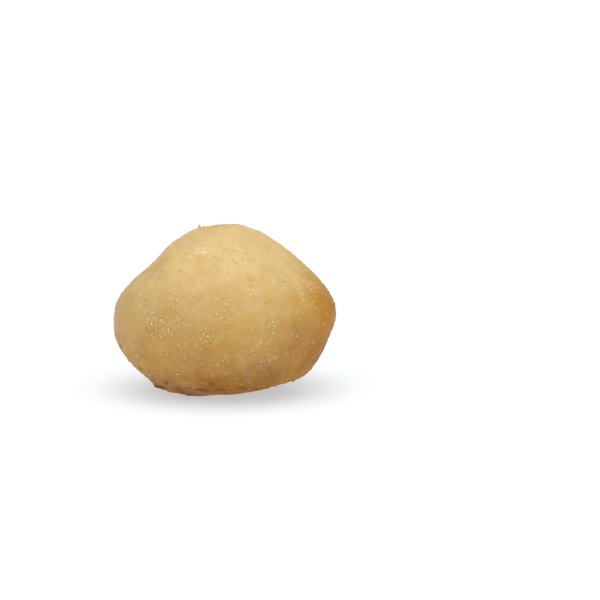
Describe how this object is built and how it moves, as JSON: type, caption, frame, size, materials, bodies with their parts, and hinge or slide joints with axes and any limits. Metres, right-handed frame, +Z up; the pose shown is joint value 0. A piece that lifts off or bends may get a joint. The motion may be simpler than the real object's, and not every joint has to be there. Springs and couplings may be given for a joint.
{
  "type": "macadamia kernel",
  "caption": "Whole shelled macadamia kernel: a plump, slightly peaked round nut with soft flats, resting on a small flat spot.",
  "frame": {"origin": "on the resting surface, under the middle of the kernel's bounding box", "axes": "+X to the kernel's right, along its longest way across; +Y to the back; +Z up, through the crown"},
  "size_m": [0.02, 0.0192, 0.0149],
  "materials": {
    "kernel_flesh": "satin"
  },
  "bodies": {
    "root": {"macadamia_kernel": "kernel_flesh"}
  },
  "joints": []
}
